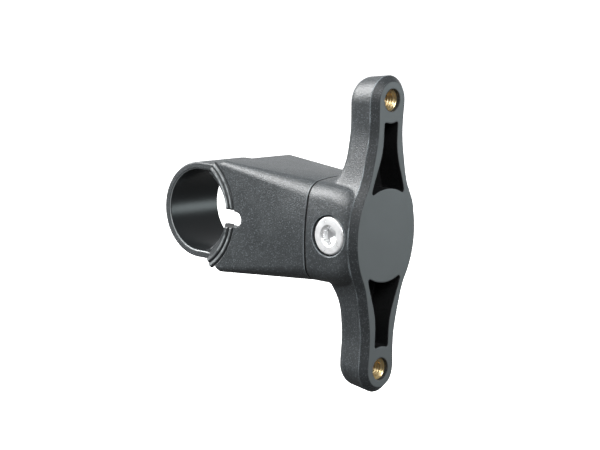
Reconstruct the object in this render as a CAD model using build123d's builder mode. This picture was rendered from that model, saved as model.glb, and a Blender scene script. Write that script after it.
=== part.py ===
from build123d import *
import os
from math import radians, sqrt, tan

# Bottle cage adapter: a strap ring that closes on a tube, a saddle body, and an
# upright plate that carries a bottle cage on two threaded inserts.
# Frame: X runs from the tube's axis to the plate, Y is the tube's axis, Z is up.
# The origin is the centre of the tube's bore.

# Tube ring and strap
tube_d = 20.0
strap_t = 1.75
strap_w = 17.0
strap_edge_r = 0.45
tail_w = 14.0
tail_neck_lead = 1.0
tail_neck_run = 1.1
tail_margin = 3.2
slide_gap = 0.4
tail_roof_gap = 0.15

# Saddle liners
liner_t = 2.0
liner_gap = 6.8
bore_side_gap = 3.5
bore_edge_r = 0.9
lip_rise = 3.95
lip_side_gap = 0.05
ridge_r = 0.75
ridge_pitch = 1.3
lip_angle = 57.5
lip_root = 0.4
lip_gap = 4.0
lip_end_r = 0.7
liner_strap_gap = 0.3
liner_side_gap = 0.25

# Saddle body
body_w = 25.0
ring_end_x = 9.3
ring_end_wall = 1.6
ring_end_corner_r = 1.1
ring_end_drop = 2.75
ring_end_run = 2.4
ring_end_round_r = 3.8
seam_x = 38.5
seam_wall = 2.15
seam_corner_r = 4.5
seam_crown = 1.3
saddle_groove = 0.55
notch_r = 1.8
notch_depth = 5.95
notch_inner_h = 7.0
notch_side_wall = 2.2
notch_inner_r = 1.5
ring_end_crown = 0.05
slot_extra = 0.1
core_wall = 2.55
core_room = 1.0

# Seam between body and plate
seam_gap = 0.35
spigot_wall = 2.1
spigot_depth = 2.6
spigot_fit = 0.1

# Cage plate
front_x = 53.2
boss_pitch = 64.0
flat_end_r = 4.4
end_draft = 8.8
flat_waist = 4.22
waist_rise = 11.95
shoulder_half_w = 5.45
shoulder_rise = 4.45
disc_inset = 2.3
disc_bulge_r = 23.0
disc_bulge_drop = 1.35
bevel = 1.6
arm_back_x = 44.1
arm_edge_r = 3.0
flare_rise = 8.35
flare_mid_x = 43.9
flare_mid_rise = 3.45
flare_root_x = 42.6
flare_root_drop = 0.05
boss_straight_x = 44.0
boss_turn_x = 47.3
boss_turn_draw = 0.03
boss_turn_grow = 0.6
boss_neck_x = 49.8
boss_neck_draw = 0.25
boss_neck_grow = 1.9
boss_front_draw = 0.8
boss_front_corner_r = 8.0
boss_joint_r = 1.2

# Pockets in the plate's front
pocket_depth = 7.0
pocket_disc_r = 11.15
pocket_insert_r = 5.45
pocket_narrow = 2.4
pocket_narrow_z = 23.0
pocket_wide = 5.95
pocket_flank_lean = 0.18
pocket_corner_r = 0.55

# Threaded inserts
lip_hole_d = 5.4
lip_depth = 1.0
insert_d = 6.8
insert_len = 6.2
insert_bore_d = 4.2
insert_collar = 0.9
insert_groove = 0.5

# Clamp screw and washer
screw_x = 45.8
screw_d = 4.9
screw_end_y = 9.5
screw_hole_gap = 0.2
head_d = 9.05
head_h = 3.2
head_recess = 0.3
head_chamfer = 0.35
socket_af = 4.0
socket_depth = 2.2
socket_lead_d = 5.3
socket_lead = 0.6
screw_tip = 0.5
counterbore_d = 9.85
washer_t = 0.8
washer_d = 9.4

# Taper nut and draw block
screw_pitch = 0.8
full_turns = 5
nut_slope = 0.5
nut_len = 5.0
nut_start_y = -4.0
nut_back = 3.9
nut_front = 3.9
nut_half_h = 6.0
nut_hub_half_h = 3.9
nut_hub_corner_r = 2.4
nut_bore_gap = 0.05
wing_x = -1.5
block_half_w = 5.7
block_half_h = 8.0
block_front_x = 49.9
block_web_x = 41.3
block_step_lead = 2.8
block_gap = 0.3
wedge_gap = 0.05

# Rivets that hold the strap's tails on the draw block
rivet_margin = 3.5
rivet_y = 3.4
rivet_d = 2.5
rivet_head_d = 4.4
rivet_len = 5.0
rivet_hole_extra = 1.0

tube_r = tube_d / 2
strap_r = tube_r + strap_t
seat_r = tube_r + liner_t
half_w = body_w / 2
slot_outer = strap_r + slide_gap
throat_half_h = tube_r + slide_gap
ring_half_h = slot_outer + ring_end_wall
seam_half_h = throat_half_h + seam_wall
draw_travel = screw_pitch * full_turns * nut_slope
notch_end_x = seat_r + notch_depth
core_end_x = notch_end_x + core_wall
block_rear_x = core_end_x + core_room + draw_travel
rivet_x = block_rear_x + rivet_margin
tail_end_x = rivet_x + tail_margin
tail_neck_x = core_end_x - tail_neck_lead
block_step_x = tail_end_x + block_step_lead


def cushion(x, half_width, half_height, crown, corner_r):
    """Rectangle with crowned sides and round corners, in the YZ plane at x."""
    corner_y = half_width - crown
    corner_z = half_height - crown
    with BuildSketch(Plane.YZ.offset(x)) as section:
        with BuildLine():
            ThreePointArc((-corner_y, corner_z), (0, half_height), (corner_y, corner_z))
            ThreePointArc((corner_y, corner_z), (half_width, 0), (corner_y, -corner_z))
            ThreePointArc((corner_y, -corner_z), (0, -half_height), (-corner_y, -corner_z))
            ThreePointArc((-corner_y, -corner_z), (-half_width, 0), (-corner_y, corner_z))
        make_face()
        fillet(section.vertices(), corner_r)
    return section.sketch


# Clamp strap: the ring goes round the tube and its two tails run straight back
rivet_planes = {}
for side, sign in (("upper", 1), ("lower", -1)):
    rivet_planes[side] = Plane(
        origin=(rivet_x, 0, sign * strap_r), x_dir=(1, 0, 0), z_dir=(0, 0, sign)
    )

with BuildPart() as clamp_strap:
    with BuildSketch(Plane.XZ):
        with BuildLine():
            Line((tail_end_x, strap_r), (0, strap_r))
            ThreePointArc((0, strap_r), (-strap_r, 0), (0, -strap_r))
            Line((0, -strap_r), (tail_end_x, -strap_r))
            Line((tail_end_x, -strap_r), (tail_end_x, -tube_r))
            Line((tail_end_x, -tube_r), (0, -tube_r))
            ThreePointArc((0, -tube_r), (-tube_r, 0), (0, tube_r))
            Line((0, tube_r), (tail_end_x, tube_r))
            Line((tail_end_x, tube_r), (tail_end_x, strap_r))
        make_face()
    extrude(amount=strap_w / 2, both=True)
    rims = clamp_strap.faces().sort_by(Axis.Y)
    fillet(rims[0].edges() + rims[-1].edges(), strap_edge_r)
    # The tails are narrower inside the body
    with BuildSketch(Plane.XY) as shoulders:
        with BuildLine():
            Polyline(
                (tail_neck_x, strap_w / 2),
                (tail_neck_x + tail_neck_run, tail_w / 2),
                (tail_end_x + 1, tail_w / 2),
                (tail_end_x + 1, strap_w),
                (tail_neck_x, strap_w),
                close=True,
            )
        make_face()
        mirror(about=Plane.XZ)
    extrude(amount=tube_d, both=True, mode=Mode.SUBTRACT)
    for plane in rivet_planes.values():
        with Locations(plane):
            with Locations((0, rivet_y), (0, -rivet_y)):
                CounterSinkHole(
                    rivet_d / 2,
                    rivet_head_d / 2,
                    depth=strap_t + rivet_hole_extra,
                )

# Saddle liners: a plain lining under the tube with a rolled lip over each side
lip_r = tube_r + lip_rise
seat_half_w = strap_w / 2 + liner_side_gap
bore_half_w = half_w - bore_side_gap
ridge_y = half_w - lip_side_gap - ridge_r
valley_y = ridge_y + sqrt(ridge_r**2 - (ridge_pitch / 2) ** 2)
flank_r = lip_r + ridge_pitch / 2 + ridge_r
root_y = min(seat_half_w, bore_half_w) - lip_root
with BuildPart() as saddle_liner_lower:
    with BuildSketch(Plane.XY):
        with Locations(((tube_r + seat_r) / 2, 0)):
            Rectangle(liner_t, 2 * seat_half_w)
    revolve(axis=Axis.Y, revolution_arc=72)
    with BuildSketch(Plane.XZ):
        Rectangle(4 * tube_r, liner_gap)
    extrude(amount=body_w, both=True, mode=Mode.SUBTRACT)
    with BuildSketch(Plane.XY) as lip:
        with BuildLine():
            Line((tube_r, root_y), (tube_r, bore_half_w))
            ThreePointArc(
                (tube_r, bore_half_w),
                (tube_r + 0.3 * bore_edge_r, bore_half_w + 0.7 * bore_edge_r),
                (tube_r + bore_edge_r, bore_half_w + bore_edge_r),
            )
            inner_r = lip_r - ridge_pitch / 2
            outer_r = lip_r + ridge_pitch / 2
            Line(
                (tube_r + bore_edge_r, bore_half_w + bore_edge_r), (inner_r - ridge_r, ridge_y)
            )
            ThreePointArc(
                (inner_r - ridge_r, ridge_y), (inner_r, ridge_y + ridge_r), (lip_r, valley_y)
            )
            ThreePointArc((lip_r, valley_y), (outer_r, ridge_y + ridge_r), (flank_r, ridge_y))
            Line((flank_r, ridge_y), (seat_r, seat_half_w))
            Line((seat_r, seat_half_w), (seat_r, root_y))
            Line((seat_r, root_y), (tube_r, root_y))
        make_face()
        mirror(about=Plane.XZ)
    revolve(axis=Axis.Y, revolution_arc=lip_angle)
    # Gap between the lips of the two liners, flared so that the lips end in a round
    with BuildSketch(Plane.YZ) as lip_gaps:
        with BuildLine():
            round_y = half_w - lip_side_gap - lip_end_r
            Line((0, 0), (0, -lip_gap / 2))
            Line((0, -lip_gap / 2), (round_y, -lip_gap / 2))
            RadiusArc(
                (round_y, -lip_gap / 2), (round_y + lip_end_r, -lip_gap / 2 - lip_end_r), lip_end_r
            )
            Line((round_y + lip_end_r, -lip_gap / 2 - lip_end_r), (half_w + 1, -half_w))
            Line((half_w + 1, -half_w), (half_w + 1, 0))
            Line((half_w + 1, 0), (0, 0))
        make_face()
        mirror(about=Plane.YZ)
        mirror(about=Plane.XZ)
    extrude(amount=2 * tube_r, mode=Mode.SUBTRACT)
    with BuildSketch(Plane.XZ):
        with Locations((0, liner_strap_gap - tube_r)):
            Rectangle(2 * body_w, body_w, align=(Align.CENTER, Align.MAX))
    extrude(amount=seat_half_w, both=True, mode=Mode.SUBTRACT)

with BuildPart() as saddle_liner_upper:
    mirror(saddle_liner_lower.part, about=Plane.XY)

# Clamp body: tapered shell with a saddle, two slots for the tails and a rear cavity
slot_half_w = strap_w / 2 + slide_gap
slot_inner = tube_r - slide_gap - slot_extra
tail_room_x = tail_end_x + slide_gap
tail_roof = strap_r + tail_roof_gap
saddle_edge_r = flank_r + saddle_groove
drop_z = ring_half_h - ring_end_drop
run_x = ring_end_x + ring_end_run
with BuildPart() as clamp_body:
    loft(
        sections=[
            cushion(ring_end_x, half_w, ring_half_h, ring_end_crown, ring_end_corner_r),
            cushion(seam_x, half_w, seam_half_h, seam_crown, seam_corner_r),
        ]
    )
    # Top and bottom drop away in a round at the ring's end
    with BuildSketch(Plane.XZ) as end_rounds:
        with BuildLine():
            RadiusArc((ring_end_x, drop_z), (run_x, ring_half_h), ring_end_round_r)
            Line((run_x, ring_half_h), (run_x, ring_half_h + 1))
            Line((run_x, ring_half_h + 1), (ring_end_x - 1, ring_half_h + 1))
            Line((ring_end_x - 1, ring_half_h + 1), (ring_end_x - 1, drop_z))
            Line((ring_end_x - 1, drop_z), (ring_end_x, drop_z))
        make_face()
        mirror(about=Plane.XZ)
    extrude(amount=body_w, both=True, mode=Mode.SUBTRACT)
    with BuildSketch(Plane.XY) as seat:
        with BuildLine():
            Line((0, 0), (seat_r, 0))
            Line((seat_r, 0), (seat_r, seat_half_w))
            Line((seat_r, seat_half_w), (flank_r, ridge_y))
            ThreePointArc(
                (flank_r, ridge_y),
                (flank_r + 0.2 * saddle_groove, half_w - 0.3 * (half_w - ridge_y)),
                (saddle_edge_r, half_w),
            )
            Line((saddle_edge_r, half_w), (saddle_edge_r, half_w + 1))
            Line((saddle_edge_r, half_w + 1), (0, half_w + 1))
            Line((0, half_w + 1), (0, 0))
        make_face()
        mirror(about=Plane.XZ)
    revolve(axis=Axis.Y, mode=Mode.SUBTRACT)
    # Notch across the saddle: narrow through the side walls, wider between them
    with BuildSketch(Plane.XZ):
        with Locations((notch_end_x - notch_r, 0)):
            Circle(notch_r)
            Rectangle(notch_end_x, 2 * notch_r, align=(Align.MAX, Align.CENTER))
    extrude(amount=body_w, both=True, mode=Mode.SUBTRACT)
    with BuildSketch(Plane.XZ):
        RectangleRounded(2 * notch_end_x, notch_inner_h, notch_inner_r)
    extrude(amount=half_w - notch_side_wall, both=True, mode=Mode.SUBTRACT)
    # Slots that the strap's tails enter
    with BuildSketch(Plane.XZ):
        with Locations((0, slot_inner)):
            Rectangle(core_end_x + 1, slot_outer - slot_inner, align=(Align.MIN, Align.MIN))
        mirror(about=Plane.XZ)
    extrude(amount=slot_half_w, both=True, mode=Mode.SUBTRACT)
    # Cavity behind the saddle, lower past the ends of the tails
    with BuildSketch(Plane.XZ):
        with BuildLine():
            Polyline(
                (core_end_x, 0),
                (core_end_x, tail_roof),
                (tail_room_x, tail_roof),
                (tail_room_x, throat_half_h),
                (seam_x, throat_half_h),
                (seam_x, 0),
                close=True,
            )
        make_face()
        mirror(about=Plane.XZ)
    extrude(amount=tail_w / 2 + slide_gap, both=True, mode=Mode.SUBTRACT)
    spigot_seat = cushion(
        seam_x,
        half_w - spigot_wall,
        seam_half_h - spigot_wall,
        seam_crown,
        seam_corner_r - spigot_wall,
    )
    extrude(spigot_seat, amount=-spigot_depth, mode=Mode.SUBTRACT)

# Cage plate: waisted upright with a beveled front, flared into a boss at its middle
plate_half_h = boss_pitch / 2 + flat_end_r + bevel
seam_end_z = boss_pitch / 2 - (front_x - seam_x) * tan(radians(end_draft))
disc_half_w = half_w - disc_inset
disc_bulge_z = seam_half_h - disc_bulge_drop
shoulder_z = seam_half_h + shoulder_rise
waist_z = seam_half_h + waist_rise
flare_start_z = seam_half_h + flare_rise
flare_mid_z = seam_half_h + flare_mid_rise
flare_root_z = seam_half_h - flare_root_drop


def disc_edge(z):
    """Half-width of the plate's flat front on its middle bulge."""
    return disc_half_w - disc_bulge_r + sqrt(disc_bulge_r**2 - z**2)


def plate_outline(x, end_z):
    """Waisted outline of the plate in the YZ plane at x, its round ends centred at end_z."""
    end_r = flat_end_r + bevel
    join_y = disc_edge(disc_bulge_z) + bevel
    with BuildSketch(Plane.YZ.offset(x)) as outline:
        with BuildLine():
            bulge = ThreePointArc(
                (join_y, -disc_bulge_z), (disc_half_w + bevel, 0), (join_y, disc_bulge_z)
            )
            flank = Spline(
                bulge @ 1,
                (shoulder_half_w + bevel, shoulder_z),
                (flat_waist + bevel, waist_z),
                (end_r, end_z),
                tangents=[bulge % 1, (0, 1)],
            )
            ThreePointArc(flank @ 1, (0, end_z + end_r), (-end_r, end_z))
            mirror(about=Plane.YZ)
            mirror(about=Plane.XZ)
        make_face()
    return outline.sketch


with BuildPart() as cage_plate:
    # Side profile: straight front, straight back and a flare on either side of the boss
    with BuildSketch(Plane.XZ):
        with BuildLine():
            Line((front_x, 0), (front_x, plate_half_h + 1))
            Line((front_x, plate_half_h + 1), (arm_back_x, plate_half_h + 1))
            Line((arm_back_x, plate_half_h + 1), (arm_back_x, flare_start_z))
            Spline(
                (arm_back_x, flare_start_z),
                (flare_mid_x, flare_mid_z),
                (flare_root_x, flare_root_z),
                (flare_root_x - 1.5, 0),
                tangents=[(0, -1), (0, -1)],
            )
            Line((flare_root_x - 1.5, 0), (front_x, 0))
        make_face()
        mirror(about=Plane.XZ)
    extrude(amount=body_w, both=True)
    loft(
        sections=[plate_outline(seam_x, seam_end_z), plate_outline(front_x, boss_pitch / 2)],
        mode=Mode.INTERSECT,
    )
    front_face = cage_plate.faces().sort_by(Axis.X)[-1]
    chamfer(front_face.edges(), bevel)
    back_edges = cage_plate.edges().filter_by(
        lambda e: e.center().X < arm_back_x + 0.1
        and (abs(e.center().Y) > flat_waist or abs(e.center().Z) > boss_pitch / 2)
    )
    fillet(back_edges, arm_edge_r)
    # Boss: the body's section carried on, then drawn in to the plate's outline
    boss_back_x = seam_x + seam_gap
    boss_sections = [
        (boss_back_x, half_w, seam_corner_r),
        (boss_straight_x, half_w, seam_corner_r),
        (boss_turn_x, half_w - boss_turn_draw, seam_corner_r + boss_turn_grow),
        (boss_neck_x, half_w - boss_neck_draw, seam_corner_r + boss_neck_grow),
        (front_x - bevel, half_w - boss_front_draw, boss_front_corner_r),
    ]
    loft(sections=[cushion(x, w, seam_half_h, seam_crown, r) for x, w, r in boss_sections])
    joint_edges = cage_plate.edges().filter_by(
        lambda e: flare_root_x - 1.5 < e.center().X < boss_straight_x + 1
        and seam_half_h - 3.3 < abs(e.center().Z) < flare_mid_z
    )
    fillet(joint_edges, boss_joint_r)
    spigot = cushion(
        seam_x - spigot_depth,
        half_w - spigot_wall - spigot_fit,
        seam_half_h - spigot_wall - spigot_fit,
        seam_crown,
        seam_corner_r - spigot_wall,
    )
    extrude(spigot, amount=spigot_depth + seam_gap)
    # Cavity for the draw block, open toward the body
    block_room_w = 2 * (block_half_w + block_gap)
    block_room_h = 2 * (block_half_h + block_gap)
    with BuildSketch(Plane.YZ.offset(seam_x - spigot_depth)):
        Rectangle(block_room_w, block_room_h)
    extrude(amount=block_front_x + block_gap + 0.1 - seam_x + spigot_depth, mode=Mode.SUBTRACT)
    # Screw hole, counterbore and blind end
    screw_line = Plane(origin=(screw_x, -half_w, 0), x_dir=(1, 0, 0), z_dir=(0, -1, 0))
    with BuildSketch(screw_line.offset(-(head_recess + head_h + washer_t))):
        Circle(counterbore_d / 2)
    extrude(amount=head_h + body_w, mode=Mode.SUBTRACT)
    with BuildSketch(screw_line):
        Circle(screw_d / 2 + screw_hole_gap)
    extrude(amount=-(half_w + screw_end_y + 0.5), mode=Mode.SUBTRACT)
    # Front pockets, each between the disc and an insert
    with BuildSketch(Plane.YZ.offset(front_x)) as pockets:
        with BuildLine():
            wide_z = sqrt(pocket_disc_r**2 - pocket_wide**2)
            narrow_z = boss_pitch / 2 - sqrt(pocket_insert_r**2 - pocket_narrow**2)
            ThreePointArc((-pocket_wide, wide_z), (0, pocket_disc_r), (pocket_wide, wide_z))
            Spline(
                (pocket_wide, wide_z),
                (pocket_narrow, pocket_narrow_z),
                tangents=[(-pocket_flank_lean, 1), (0, 1)],
            )
            Line((pocket_narrow, pocket_narrow_z), (pocket_narrow, narrow_z))
            ThreePointArc(
                (pocket_narrow, narrow_z),
                (0, boss_pitch / 2 - pocket_insert_r),
                (-pocket_narrow, narrow_z),
            )
            Line((-pocket_narrow, narrow_z), (-pocket_narrow, pocket_narrow_z))
            Spline(
                (-pocket_narrow, pocket_narrow_z),
                (-pocket_wide, wide_z),
                tangents=[(0, -1), (-pocket_flank_lean, -1)],
            )
        make_face()
        fillet(pockets.vertices().group_by(Axis.Y)[0], pocket_corner_r)
        fillet(pockets.vertices().group_by(Axis.Y)[-1], pocket_corner_r)
        mirror(about=Plane.XZ)
    extrude(amount=-pocket_depth, mode=Mode.SUBTRACT)
    # Seats of the inserts: a narrow mouth and a wider bed behind it
    with BuildSketch(Plane.YZ.offset(front_x)):
        with Locations((0, boss_pitch / 2), (0, -boss_pitch / 2)):
            Circle(lip_hole_d / 2)
    extrude(amount=-lip_depth, mode=Mode.SUBTRACT)
    with BuildSketch(Plane.YZ.offset(front_x - lip_depth)):
        with Locations((0, boss_pitch / 2), (0, -boss_pitch / 2)):
            Circle(insert_d / 2)
    extrude(amount=-insert_len, mode=Mode.SUBTRACT)

# Threaded inserts: brass bushes with a groove between two collars
inserts = {}
for side, sign in (("upper", 1), ("lower", -1)):
    seat_plane = Plane(
        origin=(front_x - lip_depth, 0, sign * boss_pitch / 2),
        x_dir=(0, 1, 0),
        z_dir=(1, 0, 0),
    )
    with BuildPart() as insert:
        with BuildSketch(seat_plane):
            Circle(insert_d / 2)
            Circle(insert_bore_d / 2, mode=Mode.SUBTRACT)
        extrude(amount=-insert_len)
        with BuildSketch(seat_plane.offset(-insert_len / 2 - insert_collar / 2)):
            Circle(insert_d / 2)
            Circle(insert_d / 2 - insert_groove, mode=Mode.SUBTRACT)
        extrude(amount=insert_collar, mode=Mode.SUBTRACT)
    inserts["insert_" + side] = insert

# Clamp screw: low head with a hexagon socket, its shank along the tube's axis
head_y = -half_w + head_recess
screw_plane = Plane(origin=(screw_x, head_y, 0), x_dir=(1, 0, 0), z_dir=(0, -1, 0))
with BuildPart() as clamp_screw:
    with BuildSketch(screw_plane):
        Circle(head_d / 2)
    extrude(amount=-head_h)
    chamfer(clamp_screw.faces().sort_by(Axis.Y)[0].edges(), head_chamfer)
    with BuildSketch(screw_plane):
        RegularPolygon(socket_af / 2, 6, major_radius=False, rotation=30)
    extrude(amount=-socket_depth, mode=Mode.SUBTRACT)
    with BuildSketch(screw_plane):
        Circle(socket_lead_d / 2)
    with BuildSketch(screw_plane.offset(-socket_lead)):
        Circle(socket_lead_d / 2 - socket_lead)
    loft(mode=Mode.SUBTRACT)
    with BuildSketch(screw_plane.offset(-head_h)):
        Circle(screw_d / 2)
    extrude(amount=-(screw_end_y - head_y - head_h))
    chamfer(clamp_screw.faces().sort_by(Axis.Y)[-1].edges(), screw_tip)

with BuildPart() as screw_washer:
    with BuildSketch(screw_plane.offset(-head_h)):
        Circle(washer_d / 2)
        Circle(screw_d / 2 + screw_hole_gap, mode=Mode.SUBTRACT)
    extrude(amount=-washer_t)

# Taper nut: travels along the screw and wedges the draw block toward the plate
nut_end_y = nut_start_y + nut_len
wing_front = screw_x + wing_x


def wedge_x(y, gap):
    """Place along X of the sloping wedge face at this y."""
    return wing_front + gap + nut_slope * (y - nut_start_y)


with BuildPart() as taper_nut:
    with BuildSketch(Plane.XY):
        with BuildLine():
            Polyline(
                (screw_x - nut_back, nut_start_y),
                (wedge_x(nut_start_y, 0), nut_start_y),
                (wedge_x(nut_end_y, 0), nut_end_y),
                (screw_x - nut_back, nut_end_y),
                close=True,
            )
        make_face()
    extrude(amount=nut_half_h, both=True)
    with BuildSketch(Plane.XZ.offset(-nut_start_y)):
        with Locations((screw_x, 0)):
            Rectangle(nut_front, 2 * nut_hub_half_h, align=(Align.MIN, Align.CENTER))
    extrude(amount=-nut_len)
    hub_edges = taper_nut.edges().filter_by(Axis.Y).sort_by(Axis.X)[-2:]
    fillet(hub_edges, nut_hub_corner_r)
    with BuildSketch(Plane.XZ.offset(-nut_start_y)):
        with Locations((screw_x, 0)):
            Circle(screw_d / 2 + nut_bore_gap)
    extrude(amount=-nut_len, mode=Mode.SUBTRACT)

# Draw block: rear web between the strap's tails and two hooks in front of the nut
with BuildPart() as draw_block:
    with BuildSketch(Plane.XZ):
        with BuildLine():
            Polyline(
                (block_rear_x, 0),
                (block_rear_x, tube_r),
                (block_step_x, tube_r),
                (block_step_x, block_half_h),
                (block_front_x, block_half_h),
                (block_front_x, nut_half_h + block_gap),
                (block_web_x, nut_half_h + block_gap),
                (block_web_x, 0),
                close=True,
            )
        make_face()
        mirror(about=Plane.XZ)
    extrude(amount=block_half_w, both=True)
    with BuildSketch(Plane.XY) as hooks:
        with BuildLine():
            Polyline(
                (wedge_x(-block_half_w, wedge_gap), -block_half_w),
                (block_front_x, -block_half_w),
                (block_front_x, block_half_w),
                (wedge_x(block_half_w, wedge_gap), block_half_w),
                close=True,
            )
        make_face()
    extrude(amount=block_half_h, both=True)
    with BuildSketch(Plane.XZ):
        with Locations((block_front_x + 1, 0)):
            Rectangle(
                block_front_x + 1 - block_web_x,
                2 * (nut_hub_half_h + block_gap),
                align=(Align.MAX, Align.CENTER),
            )
    extrude(amount=block_half_w, both=True, mode=Mode.SUBTRACT)
    for plane in rivet_planes.values():
        with Locations(plane):
            with Locations((0, rivet_y), (0, -rivet_y)):
                Cylinder(
                    rivet_d / 2,
                    rivet_len,
                    align=(Align.CENTER, Align.CENTER, Align.MAX),
                    mode=Mode.SUBTRACT,
                )

# Rivets: countersunk heads flush with the tails
rivets = {}
for side, plane in rivet_planes.items():
    for place, offset_y in (("near", -rivet_y), ("far", rivet_y)):
        axis_point = plane.origin + plane.y_dir * offset_y
        rivet_half = Plane(origin=axis_point, x_dir=plane.x_dir, z_dir=-plane.y_dir)
        with BuildPart() as rivet:
            with BuildSketch(rivet_half):
                with BuildLine():
                    head_drop = (rivet_head_d - rivet_d) / 2
                    Polyline(
                        (0, 0),
                        (rivet_head_d / 2, 0),
                        (rivet_d / 2, -head_drop),
                        (rivet_d / 2, -rivet_len),
                        (0, -rivet_len),
                        close=True,
                    )
                make_face()
            revolve(axis=Axis(axis_point, plane.z_dir))
        rivets["tail_rivet_" + side + "_" + place] = rivet

os.makedirs("parts", exist_ok=True)
pieces = {
    "clamp_body": clamp_body,
    "clamp_strap": clamp_strap,
    "saddle_liner_upper": saddle_liner_upper,
    "saddle_liner_lower": saddle_liner_lower,
    "cage_plate": cage_plate,
    "clamp_screw": clamp_screw,
    "screw_washer": screw_washer,
    "taper_nut": taper_nut,
    "draw_block": draw_block,
}
pieces.update(inserts)
pieces.update(rivets)
for name, piece in pieces.items():
    piece.part.label = name
    export_step(piece.part, "parts/" + name + ".step")
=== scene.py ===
import math

import bmesh
import bpy
from mathutils import Matrix, Vector


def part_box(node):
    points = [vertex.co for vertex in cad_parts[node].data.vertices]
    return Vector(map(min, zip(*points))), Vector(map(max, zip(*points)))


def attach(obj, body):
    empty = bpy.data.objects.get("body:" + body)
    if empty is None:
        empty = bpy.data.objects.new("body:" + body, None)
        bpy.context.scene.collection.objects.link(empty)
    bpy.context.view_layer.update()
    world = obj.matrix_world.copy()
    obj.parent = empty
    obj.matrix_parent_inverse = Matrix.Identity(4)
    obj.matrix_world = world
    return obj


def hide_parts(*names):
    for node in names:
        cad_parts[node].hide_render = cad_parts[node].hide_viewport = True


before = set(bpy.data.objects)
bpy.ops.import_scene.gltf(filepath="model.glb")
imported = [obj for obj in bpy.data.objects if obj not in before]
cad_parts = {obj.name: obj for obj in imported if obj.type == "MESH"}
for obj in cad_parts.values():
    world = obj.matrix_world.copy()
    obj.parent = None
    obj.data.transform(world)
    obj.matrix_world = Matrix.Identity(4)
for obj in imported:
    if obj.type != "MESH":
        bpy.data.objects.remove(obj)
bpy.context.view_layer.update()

bl_info = {
    "name": "Bottle Cage Adapter",
    "version": (1, 0, 0),
    "blender": (4, 5, 0),
    "location": "View3D > Sidebar > Adapter",
    "description": "Dresses the bottle cage adapter's solids with finishes, threads and a studio",
    "category": "Object",
}

MM = 0.001
PHOTO_WIDTH_PX = 600
SENSOR_MM = 36.0
WHITE = (1.0, 1.0, 1.0)

# Painted shade in the seam between body and plate, and a painted highlight on the body just before
# it
SEAM_SKIN = 0.04 * MM
SEAM_SHADE = 0.52 * MM
SEAM_HIGHLIGHT = (0.5 * MM, 0.2 * MM)
CREASE_OFF_SEAM = 0.9 * MM

# The plate's front face, its bevel and the crease behind that, which gets a painted highlight
FACE_SKIN = 0.05 * MM
BEVEL_DEPTH = 0.9 * MM
CREASE_R = 0.35 * MM
CREASE_RISE = (-12.0 * MM, 10.0 * MM)

# The plate's pockets: their ends and the heights between which they narrow; their walls and floors
# get painted shade
POCKET_ENDS = (9.0 * MM, 27.2 * MM)
POCKET_NARROWS = (9.4 * MM, 23.0 * MM)
POCKET_HALF_WIDTHS = (6.1 * MM, 2.55 * MM)
POCKET_DEPTH = 7.4 * MM

# The liners' crests, which get a painted highlight, and the ends of their lips beside the notch,
# which get painted shade
CREST = (0.07 * MM, 0.01 * MM)
LIP_END_Z = (5.0 * MM, 4.6 * MM)

# The strap's wall, and the painted highlight line from where its bore begins
STRAP_WALL = 1.75 * MM
STRAP_OUTSIDE = (1.6 * MM, 1.3 * MM)
RIM_LINE = ((0.02 * MM, 0.08 * MM), (0.26 * MM, 0.16 * MM))

# Bands of the noise that most of a texture lies in
NOISE_BAND = (0.3, 0.7)
NOISE_WIDE = (0.25, 0.75)

# How much longer than wide the fine marks are
MARK_STRETCH = 6.0

# How strong the specks are, how many times lighter than the base, the painted crease highlight, the
# painted shade on the lip ends, and the finishes' sheens
SPECKS = 0.85
SPECKS_LIGHTER = 5.0
CREASE_HIGHLIGHT_LIGHTER = 16.0
NYLON_ROUGH = (0.37, 0.45)
FACE_ROUGHER = 0.06
FACE_CALMER = 0.9
STRAP_SPECKS = 0.8
STRAP_SPECKS_LIGHTER = 4.0
STRAP_ROUGH = (0.3, 0.48)
LINER_ROUGH = (0.28, 0.40)
LINER_SPECULAR = 0.8
LIP_END_DARKER = 0.4
LIP_END_ROUGHER = 0.5

BEVEL_SAMPLES = 6
SMOOTH_BELOW = math.radians(32)

# Surroundings as the object sees them, from below the horizon to high above it
SKY_HEIGHTS = (-0.30, 0.6)
SKY_STRENGTHS = (0.03, 0.42)
SKY_COLOUR = (0.93, 0.97, 1.0)
FLOOR_UNSEEN = (0.06, 0.06, 0.06)

# Each studio light's name, direction, distance, size, power and colour
LIGHTS = (
    ("overhead", (-0.72, -0.42, 0.58), 0.6, (0.5, 0.33), 8.6, WHITE),
    ("edge", (-0.32, -0.75, 0.58), 0.6, (0.10, 0.10), 2.0, WHITE),
    ("face", (0.75, -0.35, 0.60), 0.5, (0.25, 0.25), 1.5, WHITE),
    ("backdrop", (-0.66, 0.73, 0.15), 0.8, (0.7, 0.5), 1.0, WHITE),
    ("front_fill", (0.66, 0.735, 0.03), 0.45, (0.3, 0.12), 0.5, (0.86, 0.98, 1.0)),
)


# Property helpers


def length(name, description, default_mm):
    """A length property in metres, given here in millimetres."""
    return bpy.props.FloatProperty(
        name=name,
        description=description,
        default=default_mm * MM,
        min=0.0,
        precision=5,
        unit="LENGTH",
    )


def colour(name, description, default):
    """A linear colour property."""
    return bpy.props.FloatVectorProperty(
        name=name,
        description=description,
        default=default,
        min=0.0,
        max=1.0,
        size=3,
        subtype="COLOR",
    )


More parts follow.
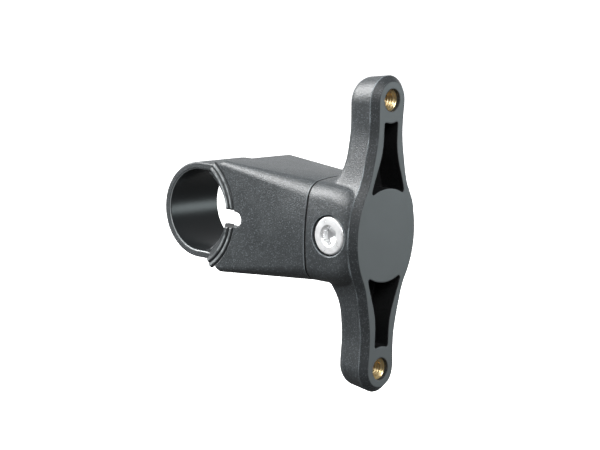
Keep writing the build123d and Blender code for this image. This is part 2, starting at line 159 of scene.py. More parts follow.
class AdapterSizes(bpy.types.PropertyGroup):
    """Sizes of the pieces that are modelled here"""

    insert_pitch: length("Insert Pitch", "Thread pitch of the brass inserts", 0.8)
    insert_minor: length("Insert Core Radius", "Radius of the insert thread's crest", 2.08)
    insert_major: length("Insert Root Radius", "Radius of the insert thread's root", 2.48)
    screw_pitch: length("Screw Pitch", "Thread pitch of the clamp screw", 0.8)
    screw_minor: length("Screw Core Radius", "Radius at the root of the screw's thread", 2.0)
    socket_flats: length("Socket Flats", "Width across the flats of the hexagon socket", 4.0)
    grain: length("Grain", "Size of the moulded spark grain", 0.29)
    grain_depth: length("Grain Depth", "Depth of the moulded spark grain", 0.065)
    edge_ease: length("Edge Ease", "Radius that softens the moulded edges", 0.5)


class AdapterColours(bpy.types.PropertyGroup):
    """Colours of the finishes, and of the painted shade and painted highlights"""

    body: colour("Body", "Grained charcoal nylon of body and plate", (0.030, 0.034, 0.0365))
    face: colour("Plate Face", "Smooth front face of the plate", (0.098, 0.107, 0.110))
    # Painted shade: near black on the pockets' walls and floors and in the seam
    pocket_shade: colour("Pocket", "Deep walls of the pockets and the seam", (0.009, 0.0095, 0.010))
    strap: colour("Strap", "Polished black nylon of the strap", (0.012, 0.014, 0.015))
    liner: colour("Liners", "Satin lining of the saddle", (0.022, 0.025, 0.027))
    # Painted highlight on the liners' crests and along the strap's bore rim
    painted_highlight: colour("Painted Highlights", "Crests of the liners and rim of the strap", (0.26, 0.28, 0.285))
    brass: colour("Brass", "Turned brass of the inserts", (0.83, 0.64, 0.34))
    screw: colour("Screw", "Bright plated screw", (0.86, 0.865, 0.87))
    steel: colour("Steel", "Plain steel inside the clamp", (0.52, 0.53, 0.54))
    alloy: colour("Block", "Cast block inside the clamp", (0.62, 0.62, 0.63))


class AdapterStage(bpy.types.PropertyGroup):
    """Camera and light of the photograph"""

    azimuth: bpy.props.FloatProperty(
        name="Azimuth",
        description="Camera's angle round the object",
        default=math.radians(42.0),
        subtype="ANGLE",
    )
    elevation: bpy.props.FloatProperty(
        name="Elevation",
        description="Camera's angle above the horizon",
        default=math.radians(8.70),
        subtype="ANGLE",
    )
    roll: bpy.props.FloatProperty(
        name="Roll",
        description="Camera's turn about its own line of sight",
        default=math.radians(2.358),
        subtype="ANGLE",
    )
    distance: length("Distance", "From the camera to the point it looks at", 699.65)
    focal_px: bpy.props.FloatProperty(
        name="Focal Length in Pixels",
        description="Focal length at the photograph's width",
        default=2898.0,
    )
    target: bpy.props.FloatVectorProperty(
        name="Target",
        description="Point at the middle of the picture",
        default=(25.8 * MM, 0.0, -1.12 * MM),
        size=3,
        precision=5,
        subtype="TRANSLATION",
    )
    floor_drop: length("Floor Drop", "From the tube's axis down to the floor", 62.0)


# Node helpers


def feed(tree, socket, value):
    """Links a socket to another one, or sets it to a number or a colour."""
    if isinstance(value, bpy.types.NodeSocket):
        tree.links.new(value, socket)
    elif socket.type == "RGBA":
        socket.default_value = (*value[:3], 1.0)
    else:
        socket.default_value = value


def feed_named(tree, node, inputs):
    """Feeds a node's inputs; the keys are the socket names with underscores."""
    for key, value in inputs.items():
        feed(tree, node.inputs[key.replace("_", " ")], value)
    return node


def put(tree, kind, **inputs):
    """Adds a node and feeds its inputs."""
    return feed_named(tree, tree.nodes.new(kind), inputs)


def maths(tree, operation, a, b=0.0):
    """One maths node's result."""
    node = tree.nodes.new("ShaderNodeMath")
    node.operation = operation
    for socket, value in zip(node.inputs, (a, b)):
        feed(tree, socket, value)
    return node.outputs[0]


def product(tree, *values):
    """Product of two or more values."""
    result = values[0]
    for value in values[1:]:
        result = maths(tree, "MULTIPLY", result, value)
    return result


def vector_maths(tree, operation, *vectors):
    """A vector maths node that is fed with vectors."""
    node = tree.nodes.new("ShaderNodeVectorMath")
    node.operation = operation
    for socket, vector in zip(node.inputs, vectors):
        tree.links.new(vector, socket)
    return node


def mix_colour(tree, amount, a, b, blend="MIX"):
    """A mix of two colours."""
    node = tree.nodes.new("ShaderNodeMix")
    node.data_type = "RGBA"
    node.blend_type = blend
    sockets = [s for s in node.inputs if s.enabled]
    for socket, value in zip(sockets, (amount, a, b)):
        feed(tree, socket, value)
    return next(s for s in node.outputs if s.enabled)


def brighter(base, times):
    """A colour multiplied, up to white."""
    return [min(1.0, times * c) for c in base]


def span(tree, value, low, high, to_low=0.0, to_high=1.0, curve="LINEAR"):
    """Maps a value from one span to another, clamped."""
    node = put(
        tree,
        "ShaderNodeMapRange",
        Value=value,
        From_Min=low,
        From_Max=high,
        To_Min=to_low,
        To_Max=to_high,
    )
    node.interpolation_type = curve
    return node.outputs["Result"]


def within(tree, value, low, high):
    """One between two limits and zero elsewhere."""
    above = maths(tree, "GREATER_THAN", value, low)
    below = maths(tree, "LESS_THAN", value, high)
    return product(tree, above, below)


def new_group(name, inputs, outputs):
    """An empty shader node group with float inputs (name, default) and float outputs."""
    tree = bpy.data.node_groups.new(name, "ShaderNodeTree")
    tree.interface.new_socket("Vector", in_out="INPUT", socket_type="NodeSocketVector")
    for label, default in inputs:
        socket = tree.interface.new_socket(label, in_out="INPUT", socket_type="NodeSocketFloat")
        socket.default_value = default
    for label in outputs:
        tree.interface.new_socket(label, in_out="OUTPUT", socket_type="NodeSocketFloat")
    return tree, tree.nodes.new("NodeGroupInput"), tree.nodes.new("NodeGroupOutput")


def spark_grain_group():
    """Spark-eroded mould texture: its height, its bright specks and a slow change of tone."""
    name = "Spark Grain"
    if name in bpy.data.node_groups:
        return bpy.data.node_groups[name]
    tree, given, out = new_group(name, [("Size", 0.22 * MM)], ["Height", "Speck", "Tone"])
    vector = given.outputs["Vector"]
    scale = maths(tree, "DIVIDE", 1.0, given.outputs["Size"])
    fine = put(tree, "ShaderNodeTexNoise", Vector=vector, Scale=scale, Detail=3.0, Roughness=0.6)
    cells = put(tree, "ShaderNodeTexVoronoi", Vector=vector, Scale=scale, Randomness=1.0)
    pits = maths(tree, "MULTIPLY", cells.outputs["Distance"], 0.5)
    height = maths(tree, "SUBTRACT", fine.outputs[0], pits)
    cell_tone = put(tree, "ShaderNodeSeparateColor", Color=cells.outputs["Color"])
    bright = span(tree, cell_tone.outputs["Red"], 0.45, 1.0)
    near = span(tree, cells.outputs["Distance"], 0.6, 0.1)
    speck = maths(tree, "MULTIPLY", bright, near)
    slow_scale = maths(tree, "MULTIPLY", scale, 0.055)
    slow = put(tree, "ShaderNodeTexNoise", Vector=vector, Scale=slow_scale, Detail=2.0)
    tree.links.new(height, out.inputs["Height"])
    tree.links.new(speck, out.inputs["Speck"])
    tree.links.new(slow.outputs[0], out.inputs["Tone"])
    return tree


def fine_marks_group():
    """Fine random marks for metal and polished plastic: a height and a roughness change."""
    name = "Fine Marks"
    if name in bpy.data.node_groups:
        return bpy.data.node_groups[name]
    inputs = [("Size", 0.4 * MM), ("Stretch", MARK_STRETCH)]
    tree, given, out = new_group(name, inputs, ["Height", "Wear"])
    scale = maths(tree, "DIVIDE", 1.0, given.outputs["Size"])
    stretch = put(
        tree,
        "ShaderNodeCombineXYZ",
        X=1.0,
        Y=maths(tree, "DIVIDE", 1.0, given.outputs["Stretch"]),
        Z=1.0,
    )
    vector = vector_maths(tree, "MULTIPLY", given.outputs["Vector"], stretch.outputs[0])
    lines = put(
        tree, "ShaderNodeTexNoise", Vector=vector.outputs[0], Scale=scale, Detail=4.0, Roughness=0.7
    )
    blotch_scale = maths(tree, "MULTIPLY", scale, 0.12)
    blotch = put(
        tree, "ShaderNodeTexNoise", Vector=given.outputs["Vector"], Scale=blotch_scale, Detail=3.0
    )
    tree.links.new(lines.outputs[0], out.inputs["Height"])
    tree.links.new(blotch.outputs[0], out.inputs["Wear"])
    return tree


def add_group(tree, group, **inputs):
    """Places a group in a material."""
    node = tree.nodes.new("ShaderNodeGroup")
    node.node_tree = group
    return feed_named(tree, node, inputs)


def new_material(name):
    """A material with its Principled shader, its tree and its object coordinates."""
    material = bpy.data.materials.new(name)
    material.use_nodes = True
    tree = material.node_tree
    shader = tree.nodes["Principled BSDF"]
    place = tree.nodes.new("ShaderNodeTexCoord")
    return material, tree, shader, place


def eased_normal(tree, radius):
    """The surface's normal with its edges rounded by a radius."""
    eased = put(tree, "ShaderNodeBevel", Radius=radius)
    eased.samples = BEVEL_SAMPLES
    return eased.outputs["Normal"]


def bump(tree, shader, height, distance, edge_r=0.0):
    """Feeds a height to the shader's normal, over edges that are eased by a radius."""
    node = put(tree, "ShaderNodeBump", Strength=1.0, Distance=distance, Height=height)
    if edge_r:
        tree.links.new(eased_normal(tree, edge_r), node.inputs["Normal"])
    tree.links.new(node.outputs["Normal"], shader.inputs["Normal"])


def crease_mask(tree, radius):
    """Finds sharp edges: there an eased normal leaves the true one."""
    true = put(tree, "ShaderNodeNewGeometry")
    meet = vector_maths(
        tree, "DOT_PRODUCT", eased_normal(tree, radius), true.outputs["Normal"]
    )
    return span(tree, meet.outputs["Value"], 0.999, 0.97)


def pocket_mask(tree, where, front_x):
    """Covers the walls and floors of the plate's two pockets."""
    across = maths(tree, "ABSOLUTE", where.outputs["Y"])
    along = maths(tree, "ABSOLUTE", where.outputs["Z"])
    flank = span(tree, along, *POCKET_NARROWS, *POCKET_HALF_WIDTHS, "SMOOTHSTEP")
    inside = maths(tree, "LESS_THAN", across, flank)
    ends = within(tree, along, *POCKET_ENDS)
    depth = within(tree, where.outputs["X"], front_x - POCKET_DEPTH, front_x - FACE_SKIN)
    return product(tree, inside, ends, depth)


def moulded_material(name, base, dark, seam, face=None):
    """Grained nylon with painted shade in the seam; the body adds a painted highlight just before
    the seam, the plate a painted highlight on its crease, its smooth front and painted shade in its
    deep pockets.
    """
    sizes = bpy.context.scene.adapter_sizes
    material, tree, shader, place = new_material(name)
    grain = add_group(
        tree, spark_grain_group(), Vector=place.outputs["Object"], Size=sizes.grain
    )
    slow = grain.outputs["Tone"]
    speck = maths(tree, "MULTIPLY", grain.outputs["Speck"], SPECKS)
    tone = span(tree, slow, *NOISE_BAND, 0.9, 1.1)
    toned = mix_colour(tree, 1.0, base, tone, "MULTIPLY")
    light = brighter(base, SPECKS_LIGHTER)
    grained = mix_colour(tree, speck, toned, light)
    roughness = span(tree, slow, 0.2, 0.8, *NYLON_ROUGH)
    height = grain.outputs["Height"]
    where = put(tree, "ShaderNodeSeparateXYZ", Vector=place.outputs["Object"])
    x = where.outputs["X"]
    # Painted shade: the seam is coloured near black
    grained = mix_colour(tree, within(tree, x, *seam), grained, dark)
    if face is None:
        # Painted highlight: a patchy lighter band on the body just before the seam
        close = span(tree, x, seam[0] - SEAM_HIGHLIGHT[0], seam[0] - SEAM_HIGHLIGHT[1])
        before = maths(tree, "LESS_THAN", x, seam[0])
        patchy = span(tree, slow, 0.35, 0.6, 0.1, 0.7)
        painted_highlight = product(tree, close, before, patchy)
        grained = mix_colour(tree, painted_highlight, grained, light)
    else:
        front_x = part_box("cage_plate")[1].x
        # Painted highlight: a patchy bright line along the crease behind the bevel, stronger
        # towards the top
        side = within(tree, x, seam[1] + CREASE_OFF_SEAM, front_x - BEVEL_DEPTH)
        patchy = span(tree, slow, 0.35, 0.65, 0.15, 0.8)
        upper = span(tree, where.outputs["Z"], *CREASE_RISE, 0.5, 1.0)
        painted_highlight = product(tree, crease_mask(tree, CREASE_R), side, patchy, upper)
        grained = mix_colour(tree, painted_highlight, grained, brighter(base, CREASE_HIGHLIGHT_LIGHTER))
        facing = put(tree, "ShaderNodeSeparateXYZ", Vector=place.outputs["Normal"])
        flat = maths(tree, "GREATER_THAN", facing.outputs["X"], 0.9)
        at_front = maths(tree, "GREATER_THAN", x, front_x - FACE_SKIN)
        on_face = product(tree, flat, at_front)
        grained = mix_colour(tree, on_face, grained, face)
        rougher = maths(tree, "MULTIPLY", on_face, FACE_ROUGHER)
        roughness = maths(tree, "ADD", roughness, rougher)
        calm = maths(tree, "SUBTRACT", 1.0, maths(tree, "MULTIPLY", on_face, FACE_CALMER))
        height = maths(tree, "MULTIPLY", height, calm)
        # Painted shade: the pockets' walls and floors are coloured near black
        grained = mix_colour(tree, pocket_mask(tree, where, front_x), grained, dark)
    tree.links.new(grained, shader.inputs["Base Color"])
    tree.links.new(roughness, shader.inputs["Roughness"])
    bump(tree, shader, height, sizes.grain_depth, sizes.edge_ease)
    return material


def liner_material(base, crest):
    """Satin rubber with a painted highlight on its crests; its lip ends beside the notch are matt
    and darkened with painted shade.
    """
    material, tree, shader, place = new_material("Liner Rubber")
    marks = add_group(
        tree,
        fine_marks_group(),
        Vector=place.outputs["Object"],
        Size=0.3 * MM,
        Stretch=MARK_STRETCH,
    )
    wear = marks.outputs["Wear"]
    where = put(tree, "ShaderNodeSeparateXYZ", Vector=place.outputs["Object"])
    facing = put(tree, "ShaderNodeSeparateXYZ", Vector=place.outputs["Normal"])
    across = maths(tree, "ABSOLUTE", where.outputs["Y"])
    outer_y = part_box("saddle_liner_upper")[1].y
    # Painted highlight: a bright line along the liners' crests
    at_crest = span(tree, across, outer_y - CREST[0], outer_y - CREST[1])
    painted_highlight = product(tree, at_crest, span(tree, wear, 0.3, 0.6))
    # Painted shade and a matt finish: lip ends beside the notch that face up or down are darker and
    # rougher
    upward = maths(tree, "ABSOLUTE", facing.outputs["Z"])
    off_notch = maths(tree, "ABSOLUTE", where.outputs["Z"])
    lip_end_matt_and_shade = product(tree, span(tree, upward, 0.35, 0.6), span(tree, off_notch, *LIP_END_Z))
    shade = mix_colour(tree, painted_highlight, base, crest)
    shade = mix_colour(tree, lip_end_matt_and_shade, shade, brighter(base, LIP_END_DARKER))
    rough = span(tree, wear, *NOISE_WIDE, *LINER_ROUGH)
    rough = maths(tree, "ADD", rough, maths(tree, "MULTIPLY", lip_end_matt_and_shade, LIP_END_ROUGHER))
    tree.links.new(shade, shader.inputs["Base Color"])
    tree.links.new(rough, shader.inputs["Roughness"])
    shader.inputs["Specular IOR Level"].default_value = LINER_SPECULAR
    bump(tree, shader, marks.outputs["Height"], 0.002 * MM)
    return material


def strap_material(inner, outer, edge):
    """Polished nylon inside the ring, with a painted highlight line at its rim, grained like the
    body outside.
    """
    sizes = bpy.context.scene.adapter_sizes
    material, tree, shader, place = new_material("Strap Nylon")
    grain = add_group(
        tree, spark_grain_group(), Vector=place.outputs["Object"], Size=sizes.grain
    )
    where = put(tree, "ShaderNodeSeparateXYZ", Vector=place.outputs["Object"])
    behind = maths(tree, "MINIMUM", where.outputs["X"], 0.0)
    outward = put(tree, "ShaderNodeCombineXYZ", X=behind, Y=0.0, Z=where.outputs["Z"])
    reach = vector_maths(tree, "LENGTH", outward.outputs[0]).outputs["Value"]
    outer_r = -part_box("clamp_strap")[0].x
    bore_r = outer_r - STRAP_WALL
    outside = span(tree, reach, outer_r - STRAP_OUTSIDE[0], outer_r - STRAP_OUTSIDE[1])
    shade = mix_colour(tree, outside, inner, outer)
    # Painted highlight: a bright line on the rim where the bore begins
    start, stop = (span(tree, reach, bore_r + a, bore_r + b) for a, b in RIM_LINE)
    shade = mix_colour(tree, product(tree, start, stop), shade, edge)
    speck = product(tree, grain.outputs["Speck"], maths(tree, "MULTIPLY", outside, STRAP_SPECKS))
    shade = mix_colour(tree, speck, shade, brighter(outer, STRAP_SPECKS_LIGHTER))
    tree.links.new(shade, shader.inputs["Base Color"])
    tree.links.new(span(tree, outside, 0.0, 1.0, *STRAP_ROUGH), shader.inputs["Roughness"])
    height = maths(tree, "MULTIPLY", grain.outputs["Height"], outside)
    bump(tree, shader, height, sizes.grain_depth)
    return material


def satin_material(name, base, rough, mark_size, depth, metallic):
    """Smooth metal with fine marks and an uneven sheen."""
    material, tree, shader, place = new_material(name)
    marks = add_group(
        tree,
        fine_marks_group(),
        Vector=place.outputs["Object"],
        Size=mark_size,
        Stretch=MARK_STRETCH,
    )
    tone = span(tree, marks.outputs["Wear"], *NOISE_BAND, 0.88, 1.1)
    shade = mix_colour(tree, 1.0, base, tone, "MULTIPLY")
    roughness = span(tree, marks.outputs["Wear"], *NOISE_WIDE, rough * 0.8, rough * 1.2)
    tree.links.new(shade, shader.inputs["Base Color"])
    tree.links.new(roughness, shader.inputs["Roughness"])
    shader.inputs["Metallic"].default_value = metallic
    bump(tree, shader, marks.outputs["Height"], depth)
    return material


def dress(node_name, material):
    """Gives a carried-over node its material."""
    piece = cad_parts[node_name]
    if not piece.material_slots:
        raise RuntimeError(node_name + " has no material slot")
    for slot in piece.material_slots:
        slot.material = material


# Mesh helpers


def thread_radius(z, angle, pitch, crest, root):
    """Radius of a rounded thread at this height and angle."""
    flat_share, flank_share = 0.1, 0.75
    phase = (z / pitch + angle / math.tau) % 1.0
    ramp = min(phase, 1.0 - phase) * 2.0
    shape = min(1.0, max(0.0, (ramp - flat_share) / flank_share))
    shape = shape * shape * (3.0 - 2.0 * shape)
    return crest + (root - crest) * shape


def lathe(name, rows, segments, place, closed=True):
    """Mesh of rings; each row gives (radius, height) at an angle. Open ends get a cap."""
    mesh = bpy.data.meshes.new(name)
    bm = bmesh.new()
    rings = []
    for row in rows:
        ring = []
        for index in range(segments):
            angle = math.tau * index / segments
            radius, height = row(angle)
            ring.append(bm.verts.new((radius * math.cos(angle), radius * math.sin(angle), height)))
        rings.append(ring)
    pairs = list(zip(rings, rings[1:]))
    if closed:
        pairs.append((rings[-1], rings[0]))
    for low, high in pairs:
        for index in range(segments):
            after = (index + 1) % segments
            bm.faces.new((low[index], low[after], high[after], high[index]))
    if not closed:
        bm.faces.new(list(reversed(rings[0])))
        bm.faces.new(rings[-1])
    bmesh.ops.recalc_face_normals(bm, faces=bm.faces)
    for edge in bm.edges:
        edge.smooth = edge.calc_face_angle(0.0) < SMOOTH_BELOW
    for face in bm.faces:
        face.smooth = True
    bm.to_mesh(mesh)
    bm.free()
    piece = bpy.data.objects.new(name, mesh)
    bpy.context.scene.collection.objects.link(piece)
    mesh.transform(place)
    return piece


def ring_row(radius, height):
    """A row with the same radius and height all round."""
    return lambda angle: (radius, height)


def upright(origin, direction):
    """Places local Z along a direction at an origin."""
    turn = Vector(direction).to_track_quat("Z", "Y").to_matrix().to_4x4()
    return Matrix.Translation(origin) @ turn


def insert_piece(side, sizes, material):
    """Brass insert with collars, a lead-in and a real thread in its bore."""
    node = "insert_" + side
    low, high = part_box(node)
    middle = (low + high) / 2
    depth = high.x - low.x
    outer = (high.y - low.y) / 2
    groove = 0.5 * MM
    groove_floor, groove_mouth = 0.25 * MM, 0.45 * MM
    ease = 0.18 * MM
    major = sizes.insert_major
    mouth = major + 0.1 * MM
    segments, rows_per_turn = 72, 14
    profile = [
        (mouth, 0.0),
        (outer - ease, 0.0),
        (outer, -ease),
        (outer, -depth / 2 + groove_mouth),
        (outer - groove, -depth / 2 + groove_floor),
        (outer - groove, -depth / 2 - groove_floor),
        (outer, -depth / 2 - groove_mouth),
        (outer, -depth + ease),
        (outer - ease, -depth),
        (major, -depth),
    ]
    rows = [ring_row(r, z) for r, z in profile]
    step = sizes.insert_pitch / rows_per_turn
    count = int(depth / step)

    def bore_row(z):
        def row(angle):
            thread = thread_radius(z, angle, sizes.insert_pitch, sizes.insert_minor, major)
            return max(thread, mouth + z), z

        return row

    for index in range(1, count):
        rows.append(bore_row(-depth + depth * index / count))
    place = upright((high.x, middle.y, middle.z), (1, 0, 0))
    piece = lathe("brass_" + node, rows, segments, place)
    piece.data.materials.append(material)
    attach(piece, "frame")
    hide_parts(node)


def screw_piece(sizes, material):
    """Clamp screw with a turned head, a hexagon socket and a threaded shank."""
    low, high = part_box("clamp_screw")
    axis_x = (low.x + high.x) / 2
    axis_z = (low.z + high.z) / 2
    head_r = (high.x - low.x) / 2
    shank_r = 2.45 * MM
    head_h = 3.2 * MM
    total = high.y - low.y
    flats = sizes.socket_flats / 2
    socket_depth = 2.2 * MM
    cone_depth = 0.75 * MM
    corner = 0.12 * MM
    lead_r = 2.62 * MM
    segments, rows_per_turn = 96, 10
    run_in = 1.2 * MM
    run_out = 0.5 * MM
    tip = 0.1 * MM

    def hexagon(angle):
        turned = (angle + math.pi / 6) % (math.pi / 3) - math.pi / 6
        return flats / math.cos(turned)

    def socket_row(scale, height):
        return lambda angle: (scale * hexagon(angle), height)

    rows = [
        socket_row(0.05, -socket_depth - cone_depth),
        socket_row(0.93, -socket_depth),
        socket_row(1.0, -socket_depth + corner),
        socket_row(1.0, -0.46 * MM),
        lambda angle: (max(hexagon(angle), 2.3 * MM), -0.3 * MM),
        ring_row(lead_r - 0.06 * MM, -0.05 * MM),
        ring_row(lead_r, 0.0),
        ring_row(head_r - 0.42 * MM, 0.0),
        ring_row(head_r - 0.30 * MM, -0.03 * MM),
        ring_row(head_r - 0.06 * MM, -0.27 * MM),
        ring_row(head_r, -0.38 * MM),
        ring_row(head_r, -head_h + 0.15 * MM),
        ring_row(head_r - 0.15 * MM, -head_h),
        ring_row(shank_r + 0.2 * MM, -head_h),
        ring_row(shank_r, -head_h - 0.2 * MM),
    ]
    start = -head_h - run_in
    rows.append(ring_row(shank_r, start))
    step = sizes.screw_pitch / rows_per_turn
    end = -total + run_out
    count = int((start - end) / step)

    def shank_row(z):
        def row(angle):
            r = thread_radius(z, angle, sizes.screw_pitch, shank_r, sizes.screw_minor)
            fade = min(1.0, (start - z) / (sizes.screw_pitch * 0.8))
            return shank_r + (r - shank_r) * fade, z

        return row

    for index in range(1, count + 1):
        rows.append(shank_row(start + (end - start) * index / count))
    rows.append(ring_row(sizes.screw_minor, -total + tip))
    rows.append(ring_row(sizes.screw_minor - tip, -total))
    place = upright((axis_x, low.y, axis_z), (0, -1, 0))
    piece = lathe("turned_clamp_screw", rows, segments, place, closed=False)
    piece.data.materials.append(material)
    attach(piece, "screw")
    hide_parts("clamp_screw")


# Operators


class ADAPTER_OT_body(bpy.types.Operator):
    """Give the clamp body its grained nylon"""

    bl_idname = "adapter.body"
    bl_label = "Clamp Body"

    def execute(self, context):
        colours = context.scene.adapter_colours
        seam_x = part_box("clamp_body")[1].x
        seam = (seam_x - SEAM_SKIN, seam_x + SEAM_SKIN)
        material = moulded_material("Body Nylon", tuple(colours.body), tuple(colours.pocket_shade), seam)
        dress("clamp_body", material)
        return {"FINISHED"}


class ADAPTER_OT_plate(bpy.types.Operator):
    """Give the cage plate its grained sides, smooth front, painted shade in its pockets and a
    painted highlight on its crease
    """

    bl_idname = "adapter.plate"
    bl_label = "Cage Plate"

    def execute(self, context):
        colours = context.scene.adapter_colours
        seam = (0.0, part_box("clamp_body")[1].x + SEAM_SHADE)
        material = moulded_material(
            "Plate Nylon", tuple(colours.body), tuple(colours.pocket_shade), seam, tuple(colours.face)
        )
        dress("cage_plate", material)
        return {"FINISHED"}


class ADAPTER_OT_strap(bpy.types.Operator):
    """Give the strap its polished black nylon"""

    bl_idname = "adapter.strap"
    bl_label = "Strap"

    def execute(self, context):
        colours = context.scene.adapter_colours
        material = strap_material(
            tuple(colours.strap), tuple(colours.body), tuple(colours.painted_highlight)
        )
        dress("clamp_strap", material)
        return {"FINISHED"}


class ADAPTER_OT_liners(bpy.types.Operator):
    """Give the two saddle liners their satin finish"""

    bl_idname = "adapter.liners"
    bl_label = "Saddle Liners"

    def execute(self, context):
        colours = context.scene.adapter_colours
        material = liner_material(tuple(colours.liner), tuple(colours.painted_highlight))
        for node in ("saddle_liner_upper", "saddle_liner_lower"):
            dress(node, material)
        return {"FINISHED"}


class ADAPTER_OT_inserts(bpy.types.Operator):
    """Build the two threaded brass inserts"""

    bl_idname = "adapter.inserts"
    bl_label = "Threaded Inserts"

    def execute(self, context):
        scene = context.scene
        material = satin_material(
            "Insert Brass", tuple(scene.adapter_colours.brass), 0.3, 0.2 * MM, 0.0002 * MM, 1.0
        )
        for side in ("upper", "lower"):
            insert_piece(side, scene.adapter_sizes, material)
        return {"FINISHED"}


class ADAPTER_OT_screw(bpy.types.Operator):
    """Build the clamp screw"""

    bl_idname = "adapter.screw"
    bl_label = "Clamp Screw"

    def execute(self, context):
        scene = context.scene
        material = satin_material(
            "Screw Plating", tuple(scene.adapter_colours.screw), 0.3, 0.25 * MM, 0.0005 * MM, 0.5
        )
        screw_piece(scene.adapter_sizes, material)
        return {"FINISHED"}


class ADAPTER_OT_inner(bpy.types.Operator):
    """Give the washer, nut, block and rivets their metals"""

    bl_idname = "adapter.inner"
    bl_label = "Inner Pieces"

    def execute(self, context):
        colours = context.scene.adapter_colours
        steel = satin_material("Plain Steel", tuple(colours.steel), 0.4, 0.3 * MM, 0.002 * MM, 1.0)
        alloy = satin_material("Cast Block", tuple(colours.alloy), 0.5, 0.4 * MM, 0.006 * MM, 1.0)
        dress("draw_block", alloy)
        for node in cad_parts:
            if node in ("screw_washer", "taper_nut") or node.startswith("tail_rivet"):
                dress(node, steel)
        return {"FINISHED"}


def area_light(centre, name, direction, distance, size, energy, tint):
    """A soft rectangular light that faces the centre from a direction."""
    data = bpy.data.lights.new(name, "AREA")
    data.shape = "RECTANGLE"
    data.size, data.size_y = size
    data.energy = energy
    data.color = tint
    lamp = bpy.data.objects.new(name, data)
    bpy.context.scene.collection.objects.link(lamp)
    outward = Vector(direction).normalized()
    lamp.location = centre + outward * distance
    lamp.rotation_mode = "QUATERNION"
    lamp.rotation_quaternion = outward.to_track_quat("Z", "Y")


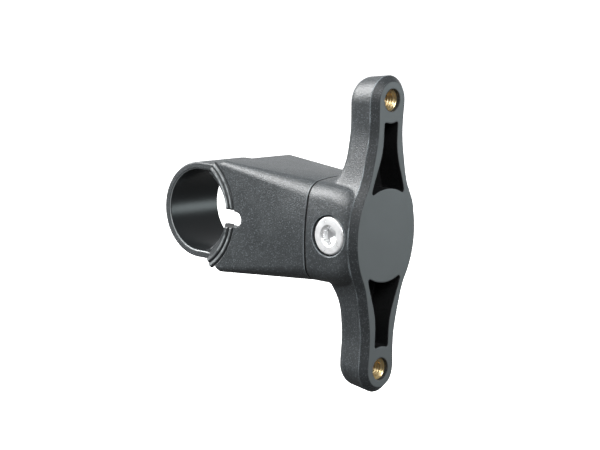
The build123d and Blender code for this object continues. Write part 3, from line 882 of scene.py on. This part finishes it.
class ADAPTER_OT_stage(bpy.types.Operator):
    """Set up the camera, the pale floor and the studio light"""

    bl_idname = "adapter.stage"
    bl_label = "Stage"

    def execute(self, context):
        scene = context.scene
        stage = scene.adapter_stage
        a, e, r = stage.azimuth, stage.elevation, stage.roll
        right = Vector((math.cos(a), math.sin(a), 0.0))
        back = Vector((math.sin(a) * math.cos(e), -math.cos(a) * math.cos(e), math.sin(e)))
        up = back.cross(right)
        side = math.cos(r) * right + math.sin(r) * up
        top = -math.sin(r) * right + math.cos(r) * up
        data = bpy.data.cameras.new("photo_camera")
        data.sensor_width = SENSOR_MM
        data.lens = stage.focal_px * SENSOR_MM / PHOTO_WIDTH_PX
        data.clip_start = 0.01
        data.clip_end = 20.0
        camera = bpy.data.objects.new("photo_camera", data)
        scene.collection.objects.link(camera)
        turn = Matrix((side, top, back)).transposed().to_4x4()
        centre = Vector(stage.target)
        camera.matrix_world = Matrix.Translation(centre + back * stage.distance) @ turn
        scene.camera = camera

        self.floor(scene, stage)
        self.light(scene, centre)
        return {"FINISHED"}

    def floor(self, scene, stage):
        """Floor that is pale to the camera and dark to the light it would bounce."""
        half = 6.0
        mesh = bpy.data.meshes.new("floor")
        corners = ((-half, -half), (half, -half), (half, half), (-half, half))
        mesh.from_pydata([(x, y, -stage.floor_drop) for x, y in corners], [], [(0, 1, 2, 3)])
        floor = bpy.data.objects.new("floor", mesh)
        scene.collection.objects.link(floor)
        material, tree, shader, place = new_material("Pale Floor")
        cloud = put(tree, "ShaderNodeTexNoise", Vector=place.outputs["Object"], Scale=3.0)
        path = tree.nodes.new("ShaderNodeLightPath")
        seen = path.outputs["Is Camera Ray"]
        pale = span(tree, cloud.outputs[0], *NOISE_BAND, 0.86, 0.9)
        shade = mix_colour(tree, seen, FLOOR_UNSEEN, pale)
        tree.links.new(shade, shader.inputs["Base Color"])
        shader.inputs["Roughness"].default_value = 0.9
        shader.inputs["Specular IOR Level"].default_value = 0.0
        shader.inputs["Emission Color"].default_value = (*WHITE, 1.0)
        glow = span(tree, seen, 0.0, 1.0, 0.03, 0.8)
        tree.links.new(glow, shader.inputs["Emission Strength"])
        mesh.materials.append(material)

    def light(self, scene, centre):
        """Surroundings that are white to the camera and dim below, and the studio lights."""
        world = bpy.data.worlds.new("studio")
        scene.world = world
        world.use_nodes = True
        tree = world.node_tree
        tree.nodes.clear()
        path = tree.nodes.new("ShaderNodeLightPath")
        seen = put(tree, "ShaderNodeBackground", Color=WHITE, Strength=1.0)
        place = tree.nodes.new("ShaderNodeTexCoord")
        where = put(tree, "ShaderNodeSeparateXYZ", Vector=place.outputs["Generated"])
        sky = span(tree, where.outputs["Z"], *SKY_HEIGHTS, *SKY_STRENGTHS)
        given = put(tree, "ShaderNodeBackground", Color=SKY_COLOUR, Strength=sky)
        blend = tree.nodes.new("ShaderNodeMixShader")
        out = tree.nodes.new("ShaderNodeOutputWorld")
        tree.links.new(path.outputs["Is Camera Ray"], blend.inputs[0])
        tree.links.new(given.outputs[0], blend.inputs[1])
        tree.links.new(seen.outputs[0], blend.inputs[2])
        tree.links.new(blend.outputs[0], out.inputs["Surface"])
        for light in LIGHTS:
            area_light(centre, *light)
        scene.view_settings.view_transform = "Standard"
        scene.view_settings.look = "None"


class ADAPTER_PT_panel(bpy.types.Panel):
    """Lists the adapter's steps and settings"""

    bl_label = "Bottle Cage Adapter"
    bl_space_type = "VIEW_3D"
    bl_region_type = "UI"
    bl_category = "Adapter"

    def draw(self, context):
        layout = self.layout
        for operator in OPERATORS:
            layout.operator(operator.bl_idname)
        for group, cls in GROUPS.items():
            box = layout.box()
            for key in cls.__annotations__:
                box.prop(getattr(context.scene, group), key)


OPERATORS = (
    ADAPTER_OT_body,
    ADAPTER_OT_plate,
    ADAPTER_OT_strap,
    ADAPTER_OT_liners,
    ADAPTER_OT_inserts,
    ADAPTER_OT_screw,
    ADAPTER_OT_inner,
    ADAPTER_OT_stage,
)
GROUPS = {
    "adapter_sizes": AdapterSizes,
    "adapter_colours": AdapterColours,
    "adapter_stage": AdapterStage,
}
CLASSES = (*GROUPS.values(), *OPERATORS, ADAPTER_PT_panel)


def register():
    """Adds the classes and the scene's settings."""
    for cls in CLASSES:
        bpy.utils.register_class(cls)
    for name, cls in GROUPS.items():
        setattr(bpy.types.Scene, name, bpy.props.PointerProperty(type=cls))


def unregister():
    """Takes them away again."""
    for name in GROUPS:
        delattr(bpy.types.Scene, name)
    for cls in reversed(CLASSES):
        bpy.utils.unregister_class(cls)


def main():
    """Builds the whole scene."""
    register()
    for operator in OPERATORS:
        group, name = operator.bl_idname.split(".")
        getattr(getattr(bpy.ops, group), name)()


if __name__ == "__main__":
    main()
